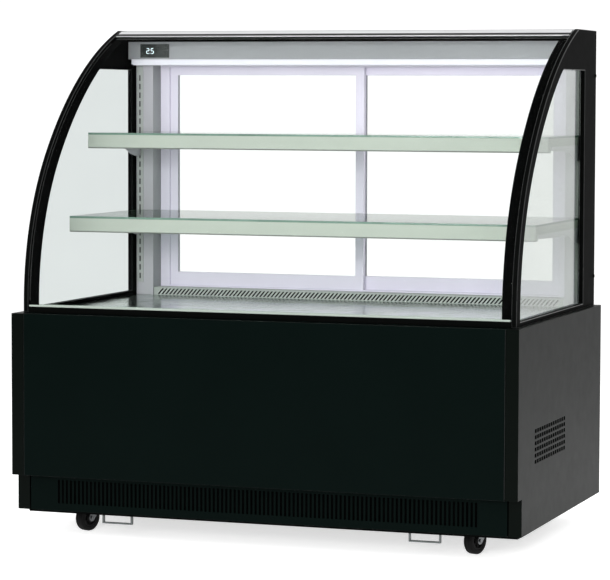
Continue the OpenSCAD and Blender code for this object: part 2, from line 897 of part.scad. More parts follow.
module castor_plates() {
    color([0.78, 0.79, 0.8]) for (sx = [-1, 1], y = castor_ends())
        translate([sx * kingpin_x, y, 0]) {
            difference() {
                slab([-plate_w / 2, plate_w / 2], [-plate_w / 2, plate_w / 2], [plate_z0, plate_z1]);
                for (dx = [-1, 1], dy = [-1, 1])
                    translate([dx * bolt_pitch / 2, dy * bolt_pitch / 2, plate_z0 - 1])
                        cylinder(h = 10, r = 4.2, $fn = 24);
            }
            translate([0, 0, 72]) cylinder(h = plate_z0 - 72, r = 5);
            translate([0, 0, 70]) cylinder(h = 3.5, r = 8);
        }
}

// Places a castor's moving parts: swivel at the kingpin, wheel trailing to the front
module at_castor(sx, y) {
    translate([sx * kingpin_x, y, 0]) rotate([0, 0, -castor_turn]) children();
}

module fork() {
    leg_x = wheel_w / 2 + 1.5;
    leg_t = 2.5;
    color([0.78, 0.79, 0.8]) difference() {
        union() {
            slab([-leg_x - leg_t, leg_x + leg_t], [-22, 20], [75, 78]);
            translate([0, 0, 78]) cylinder(h = 14, r = 19);
            both_sides() along_x([leg_x, leg_x + leg_t]) {
                polygon([[-22, 78], [20, 78], [20, 68], [-castor_trail + 8, wheel_z - 4],
                    [-castor_trail - 8, wheel_z - 4]]);
                translate([-castor_trail, wheel_z]) circle(r = 9);
            }
            rod_x([-leg_x - leg_t - 3, leg_x + leg_t + 3], -castor_trail, wheel_z, 4);
        }
        translate([0, 0, 60]) cylinder(h = 40, r = 5 + run_gap);
        translate([0, 0, 60]) cylinder(h = 15, r = 9);
    }
}

module wheel() {
    hub_r = 0.32 * wheel_d;
    color([0.07, 0.07, 0.07]) translate([0, -castor_trail, wheel_z]) difference() {
        union() {
            rod_x([3 - wheel_w / 2, wheel_w / 2 - 3], 0, 0, wheel_d / 2);
            rod_x([-wheel_w / 2, wheel_w / 2], 0, 0, wheel_d / 2 - 3);
            rod_x([-wheel_w / 2 - 1, wheel_w / 2 + 1], 0, 0, 10);
            rotate([0, 90, 0]) rotate_extrude() for (s = [-1, 1])
                translate([wheel_d / 2 - 3, s * (wheel_w / 2 - 3)]) circle(r = 3, $fn = 32);
        }
        both_sides() difference() {
            rod_x([wheel_w / 2 - 4, wheel_w / 2 + 1], 0, 0, hub_r);
            rod_x([wheel_w / 2 - 5, wheel_w / 2 + 2], 0, 0, 10);
        }
        rod_x([-wheel_w, wheel_w], 0, 0, 4 + run_gap);
    }
}

module castor_fork_fl() { at_castor(-1, kingpin_front) fork(); }
module castor_fork_fr() { at_castor(1, kingpin_front) fork(); }
module castor_fork_rl() { at_castor(-1, kingpin_rear) fork(); }
module castor_fork_rr() { at_castor(1, kingpin_rear) fork(); }
module castor_wheel_fl() { at_castor(-1, kingpin_front) wheel(); }
module castor_wheel_fr() { at_castor(1, kingpin_front) wheel(); }
module castor_wheel_rl() { at_castor(-1, kingpin_rear) wheel(); }
module castor_wheel_rr() { at_castor(1, kingpin_rear) wheel(); }

base_frame();
side_panel_left();
side_panel_right();
front_panel();
kick_grille();
rear_service_panel();
insulated_tub();
deck_panel();
deck_vent_riser();
front_sill_rail();
side_frame_left();
side_frame_right();
side_glass_left();
side_glass_right();
glass_seals();
roof_panel();
hinge_rail();
header_panel();
header_lamp();
controller();
rear_columns();
shelf_standards();
shelf_brackets();
lower_shelf_rails();
lower_shelf_glass();
upper_shelf_rails();
upper_shelf_glass();
door_frame();
case_screws();
base_straps();
castor_plates();
condensing_unit_tray();
compressor();
condenser_coil();
condenser_fan_shroud();
refrigerant_lines();
condensate_pan();
electrical_box();
power_inlet_gland();
evaporator_coil();
evaporator_fan_housing();
front_glass();
glass_hinge_leaf();
glass_bottom_trim();
left_door_frame();
left_door_glass();
right_door_frame();
right_door_glass();
castor_fork_fl();
castor_fork_fr();
castor_fork_rl();
castor_fork_rr();
castor_wheel_fl();
castor_wheel_fr();
castor_wheel_rl();
castor_wheel_rr();
condenser_fan_blade();
evaporator_fan_blade();
controller_button_up();
controller_button_down();
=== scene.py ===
"""Looks of the refrigerated glass display case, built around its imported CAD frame. Lengths are in metres."""
import json
import math

import bmesh
import bpy
from mathutils import Matrix, Vector


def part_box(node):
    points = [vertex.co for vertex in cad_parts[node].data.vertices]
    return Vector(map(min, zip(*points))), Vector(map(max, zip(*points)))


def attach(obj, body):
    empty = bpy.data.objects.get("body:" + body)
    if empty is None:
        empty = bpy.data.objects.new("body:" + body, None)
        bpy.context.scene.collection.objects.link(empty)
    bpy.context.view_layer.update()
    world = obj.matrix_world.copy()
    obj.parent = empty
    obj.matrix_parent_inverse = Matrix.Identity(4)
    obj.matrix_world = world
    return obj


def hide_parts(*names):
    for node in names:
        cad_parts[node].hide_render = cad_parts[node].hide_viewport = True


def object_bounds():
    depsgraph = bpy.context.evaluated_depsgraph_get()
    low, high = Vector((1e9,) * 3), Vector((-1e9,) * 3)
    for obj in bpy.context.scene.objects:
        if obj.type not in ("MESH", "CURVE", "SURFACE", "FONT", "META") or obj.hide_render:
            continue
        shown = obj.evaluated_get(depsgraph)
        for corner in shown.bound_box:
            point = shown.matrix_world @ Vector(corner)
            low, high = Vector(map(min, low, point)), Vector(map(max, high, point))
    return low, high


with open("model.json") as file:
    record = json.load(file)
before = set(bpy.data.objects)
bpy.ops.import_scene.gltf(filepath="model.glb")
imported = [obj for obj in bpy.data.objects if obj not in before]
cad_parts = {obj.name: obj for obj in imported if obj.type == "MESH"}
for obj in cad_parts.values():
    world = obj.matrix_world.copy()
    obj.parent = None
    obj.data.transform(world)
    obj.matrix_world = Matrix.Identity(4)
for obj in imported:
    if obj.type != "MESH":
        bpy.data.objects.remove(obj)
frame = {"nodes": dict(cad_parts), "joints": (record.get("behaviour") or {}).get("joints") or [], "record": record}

cad_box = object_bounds()
nodes = frame["nodes"]
slot_of = {s["node"]: s["material_slot"] for s in frame["record"]["subparts"]}
body_of = {n: body for body, members in frame["record"]["behaviour"]["bodies"].items() for n in members}


# ---- materials ----

def map_range(tree, source, reach, span=(0.0, 1.0), kind="LINEAR"):
    """Maps a value from its reach onto a span."""
    node = tree.nodes.new("ShaderNodeMapRange")
    node.interpolation_type = kind
    for label, value in zip(("From Min", "From Max", "To Min", "To Max"), (*reach, *span)):
        node.inputs[label].default_value = value
    tree.links.new(source, node.inputs["Value"])
    return node.outputs["Result"]


def mixed(tree, fac, first, second):
    """Mixes two shaders."""
    mix = tree.nodes.new("ShaderNodeMixShader")
    for source, socket in zip((fac, first, second), mix.inputs):
        tree.links.new(source, socket)
    return mix.outputs["Shader"]


class Look:
    """A Principled material whose colour, gloss and relief vary with noise in the piece's own space."""

    def __init__(self, name, colour, roughness, **settings):
        self.material = bpy.data.materials.new(name)
        self.material.use_nodes = True
        self.tree = self.material.node_tree
        self.shader = self.tree.nodes["Principled BSDF"]
        self.place = self.tree.nodes.new("ShaderNodeTexCoord").outputs["Object"]
        self.last_bump = None
        self.shader.inputs["Base Color"].default_value = (*colour, 1)
        self.shader.inputs["Roughness"].default_value = roughness
        for label, value in settings.items():
            self.shader.inputs[label.replace("_", " ")].default_value = value

    def link(self, source, target):
        self.tree.links.new(source, target)

    def spread(self, size, stretch):
        """The piece's own coordinates, scaled so that one unit is size metres, times stretch on each axis."""
        mapping = self.tree.nodes.new("ShaderNodeMapping")
        mapping.inputs["Scale"].default_value = [1 / (size * s) for s in stretch]
        self.link(self.place, mapping.inputs["Vector"])
        return mapping.outputs["Vector"]

    def noise(self, size, stretch=(1, 1, 1), detail=3):
        texture = self.tree.nodes.new("ShaderNodeTexNoise")
        texture.inputs["Scale"].default_value = 1
        texture.inputs["Detail"].default_value = detail
        self.link(self.spread(size, stretch), texture.inputs["Vector"])
        return texture.outputs["Fac"]

    def cells(self, size):
        """One random grey per cell, as in a metal's crystals."""
        texture = self.tree.nodes.new("ShaderNodeTexVoronoi")
        texture.inputs["Scale"].default_value = 1
        self.link(self.spread(size, (1, 1, 1)), texture.inputs["Vector"])
        grey = self.tree.nodes.new("ShaderNodeRGBToBW")
        self.link(texture.outputs["Color"], grey.inputs["Color"])
        return grey.outputs["Val"]

    def ramp(self, pattern, dark, light, reach):
        """A colour that goes from dark to light as the pattern goes over its reach."""
        ramp = self.tree.nodes.new("ShaderNodeValToRGB")
        for stop, colour, position in zip(ramp.color_ramp.elements, (dark, light), reach):
            stop.color = (*colour, 1)
            stop.position = position
        self.link(pattern, ramp.inputs["Fac"])
        return ramp.outputs["Color"]

    def tint(self, pattern, dark, light, reach=(0.3, 0.7)):
        """Colours the surface from dark to light as the pattern goes over its reach."""
        self.link(self.ramp(pattern, dark, light, reach), self.shader.inputs["Base Color"])

    def glow(self, pattern, dark, light):
        """Lights the surface from within, from dark to light over the whole pattern."""
        self.link(self.ramp(pattern, dark, light, (0.0, 1.0)), self.shader.inputs["Emission Color"])

    def gloss(self, pattern, low, high, reach=(0.3, 0.7)):
        """Sets the roughness from low to high as the pattern goes over its reach."""
        self.link(map_range(self.tree, pattern, reach, (low, high)), self.shader.inputs["Roughness"])

    def relief(self, pattern, depth):
        """Adds a bump, depth metres from the pattern's lowest to its highest."""
        bump = self.tree.nodes.new("ShaderNodeBump")
        bump.inputs["Distance"].default_value = depth
        self.link(pattern, bump.inputs["Height"])
        if self.last_bump is not None:
            self.link(self.last_bump.outputs["Normal"], bump.inputs["Normal"])
        self.link(bump.outputs["Normal"], self.shader.inputs["Normal"])
        self.last_bump = bump

    def fade_to(self, other, amount):
        """Mixes another shader into the surface by an amount from 0 to 1."""
        surface = mixed(self.tree, amount, self.shader.outputs["BSDF"], other.outputs["BSDF"])
        self.link(surface, self.tree.nodes["Material Output"].inputs["Surface"])


def shade(colour, factor):
    return tuple(c * factor for c in colour)


def painted(name, colour, roughness, contrast=0.05, peel=0.00003, uneven=0.05, **settings):
    """Powder coat: a fine orange peel, slightly uneven gloss and a faint large-scale drift in colour."""
    look = Look(name, colour, roughness, **settings)
    drift = look.noise(0.18, detail=4)
    look.tint(drift, shade(colour, 1 - contrast), shade(colour, 1 + contrast))
    look.gloss(look.noise(0.03, detail=5), roughness - uneven, roughness + uneven)
    look.relief(look.noise(0.0016, detail=2), peel)
    return look.material


def satin(name, colour, roughness=0.4, contrast=0.03):
    """A pale, low-gloss powder coat."""
    return painted(name, colour, roughness, contrast=contrast, Specular_IOR_Level=0.2)


def brushed(name, colour, roughness, along, depth=0.00002):
    """Metal with a fine grain along one axis."""
    look = Look(name, colour, roughness, Metallic=1.0)
    stretch = [1.0, 1.0, 1.0]
    stretch[along] = 400.0
    grain = look.noise(0.0009, stretch, detail=4)
    look.tint(grain, shade(colour, 0.86), shade(colour, 1.08))
    look.gloss(look.noise(0.05, detail=4), roughness - 0.05, roughness + 0.07)
    look.relief(grain, depth)
    return look.material


def zinc_plate(name, colour, roughness):
    """Bright zinc: soft cloudy crystals and a few duller patches."""
    look = Look(name, colour, roughness, Metallic=1.0)
    look.tint(look.cells(0.004), shade(colour, 0.85), shade(colour, 1.1), reach=(0.0, 1.0))
    look.gloss(look.noise(0.012, detail=5), roughness - 0.08, roughness + 0.14)
    look.relief(look.noise(0.0012, detail=3), 0.00002)
    return look.material


def moulded(name, colour, roughness, contrast=0.18, **settings):
    """Plastic or rubber from a mould: a matt spark-eroded grain with shiny rubbed patches."""
    look = Look(name, colour, roughness, **settings)
    look.tint(look.noise(0.06, detail=5), shade(colour, 1 - contrast), shade(colour, 1 + contrast))
    look.gloss(look.noise(0.02, detail=4), roughness - 0.08, roughness + 0.08)
    look.relief(look.noise(0.0007, detail=2), 0.00004)
    return look.material


def glazing(name, colour, dirt, index=1.012):
    """Clear glass that lets lamps and bounced light straight through, with a faint film of wiping marks."""
    look = Look(name, colour, 0.0, Transmission_Weight=1.0, IOR=index)
    look.tint(look.noise(0.25, detail=3), shade(colour, 0.985), colour)
    look.gloss(look.noise(0.12, (1, 3, 3), detail=6), 0.0, dirt, reach=(0.5, 0.75))
    clear = look.tree.nodes.new("ShaderNodeBsdfTransparent")
    clear.inputs["Color"].default_value = (*shade(colour, 0.97), 1)
    path = look.tree.nodes.new("ShaderNodeLightPath")
    either = look.tree.nodes.new("ShaderNodeMath")
    either.operation = "MAXIMUM"
    look.link(path.outputs["Is Shadow Ray"], either.inputs[0])
    look.link(path.outputs["Is Diffuse Ray"], either.inputs[1])
    look.fade_to(clear, either.outputs["Value"])
    return look.material


def lamp_diffuser(name):
    """Opal plastic lit from inside, a little brighter over each hidden light point."""
    look = Look(name, (0.62, 0.62, 0.68), 0.4, Emission_Strength=0.18)
    look.glow(look.noise(0.03, (1, 8, 8), detail=1), (0.84, 0.84, 0.93), (0.95, 0.95, 1.0))
    look.relief(look.noise(0.001), 0.00002)
    return look.material


def lit_digits(name):
    """The lit strokes of a display, a little uneven."""
    look = Look(name, (0.5, 0.6, 0.6), 0.5, Emission_Strength=1.4)
    look.glow(look.noise(0.002), (0.7, 0.86, 0.9), (0.85, 0.95, 1.0))
    return look.material


def drawn_copper(name, colour):
    """Copper tube, tarnished in patches."""
    look = Look(name, colour, 0.3, Metallic=1.0)
    look.tint(look.noise(0.03, detail=6), shade(colour, 0.45), colour, reach=(0.35, 0.6))
    look.gloss(look.noise(0.01, detail=4), 0.22, 0.5)
    return look.material


materials = {
    "black_paint": painted("black_powder_coat", (0.002, 0.0022, 0.0021), 0.42, uneven=0.02,
                           Specular_IOR_Level=0.003),
    "front_paint": painted("front_black_paint", (0.0013, 0.003, 0.0026), 0.3, peel=0.00001, uneven=0.02,
                           Specular_IOR_Level=0.012),
    "side_paint": painted("side_powder_coat", (0.0007, 0.0015, 0.0011), 0.45, uneven=0.015,
                          Specular_IOR_Level=0.052, Specular_Tint=(0.93, 1, 0.94, 1)),
    "liner_plastic": moulded("white_liner", (0.76, 0.77, 0.76), 0.45, contrast=0.02),
    "stainless": brushed("deck_stainless", (0.42, 0.49, 0.45), 0.18, along=0, depth=0.000002),
    "glass": glazing("clear_glass", (0.985, 0.995, 0.99), 0.03),
    "shelf_glass": glazing("shelf_clear_glass", (0.28, 0.38, 0.32), 0.06, index=1.06),
    "rail_paint": satin("shelf_rail_paint", (0.31, 0.345, 0.305), 0.42),
    "rubber": moulded("black_rubber", (0.012, 0.012, 0.012), 0.7),
    "silver": brushed("satin_aluminium", (0.8, 0.81, 0.82), 0.36, along=0),
    "column_paint": satin("grey_column_paint", (0.5, 0.49, 0.53), contrast=0.04),
    "lamp": lamp_diffuser("opal_diffuser"),
    "display_plastic": moulded("display_window", (0.03, 0.036, 0.034), 0.25),
    "door_paint": satin("door_frame_paint", (0.79, 0.75, 0.87)),
    "zinc": zinc_plate("zinc_plate", (0.72, 0.73, 0.74), 0.3),
    "compressor_paint": painted("compressor_enamel", (0.01, 0.01, 0.011), 0.35, Specular_IOR_Level=0.1),
    "fin_aluminium": brushed("fin_aluminium", (0.78, 0.79, 0.8), 0.4, along=2),
    "copper": drawn_copper("copper_tube", (0.82, 0.45, 0.3)),
    "fan_plastic": moulded("fan_plastic", (0.04, 0.042, 0.046), 0.5),
    "pan_plastic": moulded("pan_plastic", (0.02, 0.02, 0.022), 0.55, Specular_IOR_Level=0.2),
    "wheel_rubber": moulded("wheel_rubber", (0.003, 0.003, 0.003), 0.6, Specular_IOR_Level=0.1),
}
CORNERS = ("fl", "fr", "rl", "rr")
fork_zinc = zinc_plate("fork_zinc", (0.16, 0.165, 0.17), 0.35)
# CAD nodes that don't look quite like the rest of their slot
special = {
    **{"castor_fork_" + corner: fork_zinc for corner in CORNERS},
    # the two side panes are one glass; their tints and reflections are set apart per side as painted light and
    # shade
    "side_glass_left": glazing("left_side_glass", (0.69, 0.725, 0.72), 0.04, index=1.03),
    "side_glass_right": glazing("right_side_glass", (0.66, 0.7, 0.67), 0.04, index=1.4),
    "base_straps": painted("strap_paint", (0.09, 0.1, 0.1), 0.35, Specular_IOR_Level=0.3),
    "glass_bottom_trim": satin("trim_paint", (0.3, 0.345, 0.31), 0.35),
    "deck_vent_riser": satin("riser_paint", (0.42, 0.45, 0.43)),
    "shelf_standards": satin("standard_paint", (0.45, 0.47, 0.46)),
    "header_panel": satin("header_paint", (0.31, 0.32, 0.335), contrast=0.04),
}
# finishes of single faces and of this script's own pieces
# a lighter, glossier black for the rounded edges of the black frames and panels: a painted highlight
highlight_edge_paint = painted("black_edge_painted_highlight", (0.014, 0.015, 0.015), 0.3, Specular_IOR_Level=0.3)
# dark grey for the side faces of the doors' glass openings
stile_side_dark = moulded("stile_side_dark_grey", (0.13, 0.14, 0.14), 0.6)
# a darker grey for the side faces of the rear columns: painted shade on the sides turned from the light
column_side_shade = satin("column_side_painted_shade", (0.33, 0.345, 0.35), contrast=0.04)
# a darker paint on the down-facing rounded lower edge of the shelf rails: painted shade
rail_painted_shade = painted("rail_underside_painted_shade", (0.16, 0.175, 0.16), 0.5, contrast=0.03, Specular_IOR_Level=0.1)
cut_edge = moulded("shelf_glass_edge", (0.1, 0.17, 0.135), 0.2)
frit = moulded("black_frit", (0.0015, 0.0016, 0.0016), 0.4, Specular_IOR_Level=0.002)
# a near-black, barely glossy finish for the filter mats behind the vents: real filters that also stand in for the
# shade inside the vents, as painted shade
black_filter_and_shade = moulded("black_filter_and_shade", (0.004, 0.0042, 0.0042), 0.8, Specular_IOR_Level=0.02)
hub_plastic = moulded("hub_plastic", (0.006, 0.006, 0.006), 0.5, Specular_IOR_Level=0.15)


# ---- CAD nodes: finish and soft edges ----

# the radius of a slot's soft edges, the nodes whose rounded edges get a lighter, glossier black as a painted
# highlight, and the gap within which corners are one
EDGE = {
    "black_paint": 0.0014, "front_paint": 0.0006, "side_paint": 0.0012, "rail_paint": 0.0008,
    "silver": 0.0004, "column_paint": 0.0006, "door_paint": 0.001, "display_plastic": 0.0005,
    "stainless": 0.0004, "glass": 0.0006, "shelf_glass": 0.0006, "lamp": 0.003,
}
HIGHLIGHT_EDGED = ("side_frame_left", "side_frame_right", "front_panel", "roof_panel")
JOIN = 0.00001


def soften(piece, width, rim=None):
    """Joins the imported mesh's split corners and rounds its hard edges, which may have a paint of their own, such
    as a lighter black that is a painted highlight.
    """
    weld = piece.modifiers.new("weld", "WELD")
    weld.merge_threshold = JOIN
    bevel = piece.modifiers.new("edges", "BEVEL")
    bevel.width = width
    bevel.segments = 2
    bevel.limit_method = "ANGLE"
    bevel.angle_limit = math.radians(35)
    if rim is not None:
        piece.data.materials.append(rim)
        bevel.material = len(piece.data.materials) - 1
    piece.modifiers.new("normals", "WEIGHTED_NORMAL")


for name, piece in nodes.items():
    piece.data.materials.clear()
    piece.data.materials.append(special.get(name, materials[slot_of[name]]))
    if slot_of[name] in EDGE:
        soften(piece, EDGE[slot_of[name]], highlight_edge_paint if name in HIGHLIGHT_EDGED else None)


def repaint(piece, material, chosen):
    """Gives the faces of a piece that chosen picks out a material of their own."""
    piece.data.materials.append(material)
    for face in piece.data.polygons:
        if chosen(face):
            face.material_index = len(piece.data.materials) - 1


def repaint_leaf():
    """The up-facing floor of the groove along the hinge leaf, given the black rubber finish."""
    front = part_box("glass_hinge_leaf")[0].y
    groove = (front + 0.004, front + 0.0168)
    repaint(nodes["glass_hinge_leaf"], materials["rubber"],
            lambda f: groove[0] < f.center.y < groove[1] and f.normal.z > 0.5)


def repaint_door(node, rim=0.012):
    """Dark grey on a door's glass opening: the faces across X that aren't the frame's own two sides."""
    low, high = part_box(node)
    repaint(nodes[node], stile_side_dark,
            lambda f: abs(f.normal.x) > 0.9 and low.x + rim < f.center.x < high.x - rim)


def repaint_standards(end=0.004):
    """The shaded walls of the standards' slots."""
    low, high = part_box("shelf_standards")
    strips = nodes["shelf_standards"]
    # where the strips' own sides stand, which the slots' walls don't
    outer = {round(v.co.x, 3) for v in strips.data.vertices if v.co.z < low.z + end / 2}
    repaint(strips, materials["rubber"],
            lambda f: abs(f.normal.y) < 0.5 and low.z + end < f.center.z < high.z - end
            and round(f.center.x, 3) not in outer)


repaint_leaf()
repaint_door("left_door_frame")
repaint_door("right_door_frame")
repaint_standards()
# painted shade: the columns' side faces in a darker grey
repaint(nodes["rear_columns"], column_side_shade, lambda f: abs(f.normal.x) > 0.9)
for level in ("lower_shelf_", "upper_shelf_"):
    # painted shade on the rails' down-facing rounding
    repaint(nodes[level + "rails"], rail_painted_shade, lambda f: -0.9 < f.normal.z < -0.3)
    repaint(nodes[level + "glass"], cut_edge, lambda f: abs(f.normal.z) < 0.5)


# ---- pieces of scene.py's own ----

def add_piece(name, mesh, node, slot, material=None):
    """Puts a mesh in the scene, riding on the body of a CAD node and finished from a slot."""
    piece = bpy.data.objects.new(name, mesh)
    bpy.context.scene.collection.objects.link(piece)
    mesh.materials.append(material or materials[slot])
    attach(piece, body_of[node])
    return piece


def to_mesh(bm, name):
    """Turns a bmesh into a mesh that is smooth across its gentle edges."""
    mesh = bpy.data.meshes.new(name)
    bmesh.ops.recalc_face_normals(bm, faces=bm.faces)
    bm.to_mesh(mesh)
    bm.free()
    mesh.shade_smooth()
    mesh.set_sharp_from_angle(angle=math.radians(35))
    return mesh


def welded(node):
    """A CAD node's mesh with its split corners joined, to work from."""
    bm = bmesh.new()
    bm.from_mesh(nodes[node].data)
    bmesh.ops.remove_doubles(bm, verts=bm.verts, dist=JOIN)
    return bm


def frit_band():
    """The black enamel border on the inside of the front glass, along its two sides and its top."""
    side_w, top_w, film = 0.022, 0.0125, 0.0002
    low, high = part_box("front_glass")
    bm = welded("front_glass")
    outer = [f for f in bm.faces if abs(f.normal.x) > 0.1 or f.normal.y < 0.3 or f.normal.z > 0.02]
    bmesh.ops.delete(bm, geom=outer, context="FACES")
    left, right, top = low.x + side_w, high.x - side_w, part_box("glass_hinge_leaf")[0].y - top_w
    for point, normal in (((left, 0, 0), (1, 0, 0)), ((right, 0, 0), (1, 0, 0)), ((0, top, 0), (0, 1, 0))):
        geometry = bm.verts[:] + bm.edges[:] + bm.faces[:]
        bmesh.ops.bisect_plane(bm, geom=geometry, plane_co=point, plane_no=normal)
    centres = [(f, f.calc_center_median()) for f in bm.faces]
    window = [f for f, centre in centres if left < centre.x < right and centre.y < top]
    bmesh.ops.delete(bm, geom=window, context="FACES")
    bm.normal_update()
    for v in bm.verts:
        v.co += v.normal * film
    bmesh.ops.solidify(bm, geom=bm.faces[:], thickness=-film / 2)
    add_piece("front_glass_frit", to_mesh(bm, "front_glass_frit"), "front_glass", "black_paint", frit)


def side_glass_border(side, wide=0.0078, film=0.0002):
    """The black enamel border on the inside of a side glass, where it lies on its frame."""
    node = "side_glass_" + side
    inward = 1 if side == "left" else -1
    bm = welded(node)
    bmesh.ops.delete(bm, geom=[f for f in bm.faces if f.normal.x * inward < 0.9], context="FACES")
    bmesh.ops.dissolve_faces(bm, faces=bm.faces[:])
    bmesh.ops.inset_region(bm, faces=bm.faces[:], thickness=wide, use_boundary=True, use_even_offset=True)
    bmesh.ops.delete(bm, geom=[max(bm.faces, key=lambda f: f.calc_area())], context="FACES")
    for v in bm.verts:
        v.co.x += inward * film
    bmesh.ops.solidify(bm, geom=bm.faces[:], thickness=film / 2)
    name = node + "_border"
    add_piece(name, to_mesh(bm, name), node, "black_paint", frit)


def lathe(bm, outline, steps=64):
    """Turns a closed outline of (x, radius) points about the X axis."""
    rings = []
    for i in range(steps):
        turn = 2 * math.pi * i / steps
        rings.append([bm.verts.new((x, r * math.cos(turn), r * math.sin(turn))) for x, r in outline])
    for ring, after in zip(rings, rings[1:] + rings[:1]):
        for k in range(len(outline)):
            m = (k + 1) % len(outline)
            bm.faces.new((ring[k], ring[m], after[m], after[k]))


def block(bm, low, high, matrix=Matrix()):
    """A box between two corners."""
    for v in bmesh.ops.create_cube(bm, size=1)["verts"]:
        v.co = matrix @ Vector([low[i] if v.co[i] < 0 else high[i] for i in range(3)])


def mirrored(outline):
    """Closes a half outline of (x, radius) points, given from the middle to +X, by its mirror image."""
    return outline + [(-x, r) for x, r in reversed(outline) if x > 0]


def castor_wheel(corner):
    """A moulded wheel in place of the CAD one: a grooved tyre on a ribbed hub with a bearing boss."""
    node, body = "castor_wheel_" + corner, "wheel_" + corner
    low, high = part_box(node)
    axle = next(j["axis"] for j in frame["joints"] if j["child"] == body)
    place = Matrix.Translation((low + high) / 2) @ Matrix.Rotation(math.atan2(axle[1], axle[0]), 4, "Z")
    radius = (high.z - low.z) / 2
    half, rim_r, boss_r, bore_r = 0.011, 0.0205, 0.0095, 0.0041
    tyre = bmesh.new()
    lathe(tyre, mirrored([(0.0, rim_r), (half - 0.0012, rim_r), (half, rim_r + 0.0012),
                          (half, radius - 0.0045), (half - 0.0007, radius - 0.0022),
                          (half - 0.002, radius - 0.0007), (half - 0.004, radius), (0.0048, radius),
                          (0.0042, radius - 0.0008), (0.0032, radius - 0.0008), (0.0026, radius),
                          (0.0, radius)]), 96)
    hub = bmesh.new()
    lathe(hub, mirrored([(0.0, bore_r), (half + 0.0006, bore_r), (half + 0.001, bore_r + 0.0005),
                         (half + 0.001, boss_r - 0.001), (half, boss_r), (0.003, boss_r + 0.0006),
                         (0.003, rim_r - 0.0026), (half - 0.0008, rim_r - 0.002),
                         (half - 0.0008, rim_r - 0.0002), (0.0, rim_r - 0.0002)]), 64)
    for side in (-1, 1):
        for i in range(6):
            turn = Matrix.Rotation(math.radians(60 * i), 4, "X")
            ends = sorted((side * 0.0028, side * (half - 0.003)))
            block(hub, (ends[0], -0.0008, boss_r - 0.001), (ends[1], 0.0008, rim_r - 0.0015), turn)
    for bm, part, material in ((tyre, "tyre", materials["wheel_rubber"]), (hub, "hub", hub_plastic)):
        bm.transform(place)
        name = f"castor_{part}_{corner}"
        piece = add_piece(name, to_mesh(bm, name), node, "wheel_rubber", material)
        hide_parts(node)


def islands(node):
    """The box of each separate solid in a CAD node, as (lowest corner, highest corner)."""
    bm = welded(node)
    left, boxes = set(bm.verts), []
    while left:
        group, edge = set(), [left.pop()]
        while edge:
            vert = edge.pop()
            group.add(vert)
            near = [e.other_vert(vert) for e in vert.link_edges]
            edge += [v for v in near if v in left]
            left -= set(near)
        boxes.append(tuple(Vector(f(v.co[i] for v in group) for i in range(3)) for f in (min, max)))
    bm.free()
    return sorted(boxes, key=lambda b: tuple(round(c, 4) for c in b[0]))


def screw_head(radius, height):
    """A pan head with a cross recess, standing on X = 0 and facing +X."""
    bm = bmesh.new()
    dome = [(height * math.sin(math.radians(a)), radius * math.cos(math.radians(a)) ** 0.6)
            for a in range(0, 90, 10)]
    lathe(bm, [(0.0, 0.0001)] + dome + [(height, 0.0001)], 48)
    head = bpy.data.objects.new("screw_head", to_mesh(bm, "screw_head"))
    cutter = bmesh.new()
    arm, groove = 0.62 * radius, 0.13 * radius
    block(cutter, (0.45 * height, -arm, -groove), (2 * height, arm, groove))
    cross = bpy.data.objects.new("screw_cross", to_mesh(cutter, "screw_cross"))
    turned = cross.copy()
    turned.rotation_euler.x = math.radians(90)
    for tool in (head, cross, turned):
        bpy.context.scene.collection.objects.link(tool)
    for tool in (cross, turned):
        cut = head.modifiers.new(tool.name, "BOOLEAN")
        cut.operation, cut.object, cut.solver = "DIFFERENCE", tool, "EXACT"
    done = bpy.data.meshes.new_from_object(head.evaluated_get(bpy.context.evaluated_depsgraph_get()))
    for tool in (head, cross, turned):
        bpy.data.objects.remove(tool)
    return done


def hex_bolt(bm, low, high, head=0.0045, washer=0.001, shank_r=0.004, core=0.0002):
    """A hexagon-head bolt with its washer, its head down, filling the space of a CAD bolt."""
    middle, radius, length = (low + high) / 2, (high.x - low.x) / 2, high.z - low.z
    across, seat = 0.9 * radius, head - washer
    part = bmesh.new()
    lathe(part, [(0.0, core), (0.0, across - 0.0008), (0.0006, across), (seat, across), (seat, core)], 6)
    lathe(part, [(seat, core), (seat, radius), (head, radius), (head, core)], 48)
    lathe(part, [(head, core), (head, shank_r), (length, shank_r), (length, core)], 32)
    upright = Matrix.Rotation(math.radians(-90), 4, "Y")
    part.transform(Matrix.Translation((middle.x, middle.y, low.z)) @ upright)
    mesh = bpy.data.meshes.new("bolt")
    part.to_mesh(mesh)
    part.free()
    bm.from_mesh(mesh)
    bpy.data.meshes.remove(mesh)


def fasteners():
    """Screws and bolts with real heads in place of the CAD node's plain ones."""
    bm = bmesh.new()
    for low, high in islands("case_screws"):
        size, centre = high - low, (low + high) / 2
        across = min(range(3), key=lambda i: size[i])
        if across == 2:
            hex_bolt(bm, low, high)
            continue
        outward = Vector((0, 0, 0))
        outward[across] = math.copysign(1, centre[across])
        foot = centre - outward * size[across] / 2
        head = screw_head(max(size) / 2, size[across])
        head.transform(Matrix.Translation(foot) @ outward.to_track_quat("X", "Z").to_matrix().to_4x4())
        bm.from_mesh(head)
        bpy.data.meshes.remove(head)
    piece = add_piece("screws_and_bolts", to_mesh(bm, "screws_and_bolts"), "case_screws", "zinc")
    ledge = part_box("side_panel_left")[1].z
    repaint(piece, materials["black_paint"], lambda f: f.center.z > ledge)
    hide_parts("case_screws")


SEGMENTS = {"a": ((0, 2), (1, 2)), "b": ((1, 1), (1, 2)), "c": ((1, 0), (1, 1)), "d": ((0, 0), (1, 0)),
            "e": ((0, 0), (0, 1)), "f": ((0, 1), (0, 2)), "g": ((0, 1), (1, 1))}
DIGITS = {"2": "abged", "5": "afgcd"}


